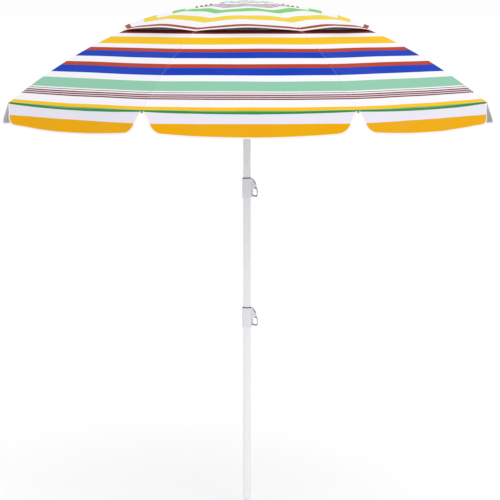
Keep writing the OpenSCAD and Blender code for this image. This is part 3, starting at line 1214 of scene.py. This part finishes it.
@dataclass
class ClipGuard:
    """The grey guard that covers a clip's spring between the collar's two ears.

    Attributes:
        collar: The collar's name.
        body: The body that it is fixed to.
        material: Its finish.
        width: Its width across the ears.
        thickness: How thick it is.
    """

    collar: str
    body: str
    material: Material
    width: float = 0.0066
    thickness: float = 0.0044

    def build(self) -> Piece:
        """Bends the guard from the collar's lip down to the clip's pivot.

        Returns:
            The piece.
        """
        low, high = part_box(self.collar)
        wall = -low.x
        line = [Vector((x, 0.0, high.z - below)) for x, below in (
            (wall - 0.0004, 0.0022), (wall + 0.0030, 0.0046),
            (wall + 0.0100, 0.0138), (high.x - 0.0010, 0.0262))]
        centres, rings, steps = [], [], 24
        for i in range(steps + 1):
            share = i / steps * (len(line) - 1)
            leg = min(int(share), len(line) - 2)
            centres.append(line[leg].lerp(line[leg + 1], share - leg))
        for i, at in enumerate(centres):
            ahead = heading(centres, i)
            out = Vector((-ahead.z, 0.0, ahead.x))
            if out.x < 0:
                out = -out
            taper = 0.72 + 0.28 * sin(pi * i / steps)
            ring = []
            for t in (k * pi / 8 for k in range(16)):
                side = copysign(abs(cos(t)) ** 0.45, cos(t)) * self.width / 2
                lift = copysign(abs(sin(t)) ** 0.45, sin(t)) * self.thickness / 2 * taper
                ring.append(at + Vector((0.0, side, 0.0)) + out * (lift + 0.0009))
            rings.append(ring)
        mesh = Mesh(f"{self.collar}_guard")
        mesh.sweep(centres, rings, 0)
        piece = mesh.build((self.material,))
        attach(piece, self.body)
        return piece


@dataclass
class Studio:
    """The pale floor, the soft lights and the camera.

    Attributes:
        distance: How far the camera stands from the pole.
        height: The camera's height.
        pitch: How far it looks down, in degrees.
        lens: Its focal length in millimetres.
        aside: How far it stands round to the left, in degrees.
        shift: How far its film is shifted sideways, as a share of its width.
    """

    distance: float = 6.219
    height: float = 1.904
    pitch: float = 8.19
    lens: float = 118.94
    aside: float = 0.70
    shift: float = 0.0062

    def camera(self) -> None:
        """Stands the camera in front of the umbrella."""
        data = bpy.data.cameras.new("studio_camera")
        data.lens, data.sensor_width, data.sensor_fit = self.lens, 36.0, "HORIZONTAL"
        data.shift_x = self.shift
        data.clip_end = 3000.0
        camera = put("studio_camera", data)
        turn = radians(self.aside)
        camera.location = (-self.distance * sin(turn), -self.distance * cos(turn), self.height)
        camera.rotation_euler = (radians(90 - self.pitch), 0.0, -turn)
        bpy.context.scene.camera = camera

    def floor(self) -> None:
        """Lays the pale studio floor."""
        mesh, reach = Mesh("studio_floor"), 900.0
        steps = [reach * (i / 12 - 1) ** 3 for i in range(25)]
        mesh.sheet([[mesh.point((x, y, 0.0)) for x in steps] for y in steps], 0)
        finish = Finish("pale_floor")
        grain = finish.noise(3.0, 3.0)
        colour = finish.mix((grain - 0.5) * 0.04, (0.93, 0.93, 0.93), (0.88, 0.88, 0.88))
        finish.surface(colour, 0.85, None, Emission_Color=(1.0, 1.0, 1.0), Emission_Strength=0.10,
                       Specular_IOR_Level=0.1)
        mesh.build((finish.material,))

    def lamp(self, name: str, at: Sequence[float], size: float, power: float) -> None:
        """Hangs one soft square lamp that looks at the canopy.

        Args:
            name: The lamp's name.
            at: Where it hangs.
            size: Its side in metres.
            power: Its power in watts.
        """
        data = bpy.data.lights.new(name, "AREA")
        data.shape, data.size, data.energy = "SQUARE", size, power
        lamp = put(name, data)
        lamp.location = at
        aim = Vector((0.0, 0.0, 1.4)) - Vector(at)
        lamp.rotation_euler = aim.to_track_quat("-Z", "Y").to_euler()

    def light(self) -> None:
        """Fills the studio with even light and a soft key from above."""
        world = bpy.data.worlds.new("studio_air")
        world.use_nodes = True
        air = world.node_tree.nodes["Background"]
        air.inputs["Color"].default_value = (1.0, 1.0, 1.0, 1.0)
        air.inputs["Strength"].default_value = 0.98
        bpy.context.scene.world = world
        bpy.context.scene.view_settings.view_transform = "Standard"
        self.lamp("key_lamp", (2.6, -4.2, 5.6), 3.4, 66.0)
        self.lamp("fill_lamp", (-3.6, -4.4, 3.2), 3.0, 6.0)
        self.lamp("back_lamp", (0.5, 4.6, 5.0), 3.4, 20.0)


def main() -> None:
    """Builds the umbrella and its studio in order."""
    logging.basicConfig(level=logging.INFO, format="%(name)s: %(message)s")
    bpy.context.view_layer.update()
    studio = Studio()
    studio.camera()
    studio.floor()
    studio.light()
    LOG.info("studio ready")
    cloth = PrintedCloth("panel_print", stripes=PANEL_STRIPES, crease=0.0012).material
    cap_cloth = PrintedCloth("cap_print", stripes=CAP_STRIPES, crease=0.0012).material
    flap_cloth = PrintedCloth("flap_print", stripes=FLAP_STRIPES, crease=0.0016).material
    coating = CoatedUnderside("sun_coating").material
    tape = BindingTape("binding_tape", srgb(238, 236, 232)).material
    gores = Gores(cloth, coating, tape, cap_cloth)
    valance = Valance(flap_cloth, coating, tape)
    seams = Seams(cloth, coating, tape, cap_cloth)
    for rib in range(1, RIBS + 1):
        for piece in (gores.panel(rib), gores.cap_panel(rib), valance.half_flap(rib, Side.LEFT),
                      valance.half_flap(rib, Side.RIGHT), *seams.build(rib)):
            LOG.info("built %s, %d faces", piece.name, len(piece.data.polygons))
    white_plastic = MouldedPlastic("collar_moulding", srgb(226, 227, 230), 0.30).material
    steel = PlatedSteel("zinc_plate", (0.60, 0.60, 0.61)).material
    pole = PowderCoat("pole_coat", srgb(236, 236, 238)).material
    wire = PowderCoat("frame_coat", DYES.coating, 0.25, 0.32).material
    grip = MouldedPlastic("clip_moulding", DYES.coating, 0.42).material
    rubber = Rubber("seal_rubber", (0.045, 0.045, 0.05)).material
    tip = MouldedPlastic("tip_moulding", srgb(232, 232, 234), 0.36).material
    coats = {"ground_tip": tip, "rib": wire, "strut": wire, "crown_wire": steel, "runner_catch": steel}
    coats.update({f"pole_{part}": pole for part in ("lower", "middle", "upper")})
    coats.update(dict.fromkeys(("crown_hub", "crown_washer", "finial", "runner"), white_plastic))
    for end in ("lower", "upper"):
        coats.update({f"{end}_collar": white_plastic, f"{end}_clip": grip, f"{end}_seal_ring": rubber,
                      f"{end}_clip_pin": steel, f"{end}_clip_spring": steel})
    Hardware(coats).dress()
    for collar, body in (("lower_collar", "base"), ("upper_collar", "middle")):
        LOG.info("built %s", ClipGuard(collar, body, grip).build().name)
    LOG.info("done")


if __name__ == "__main__":
    main()
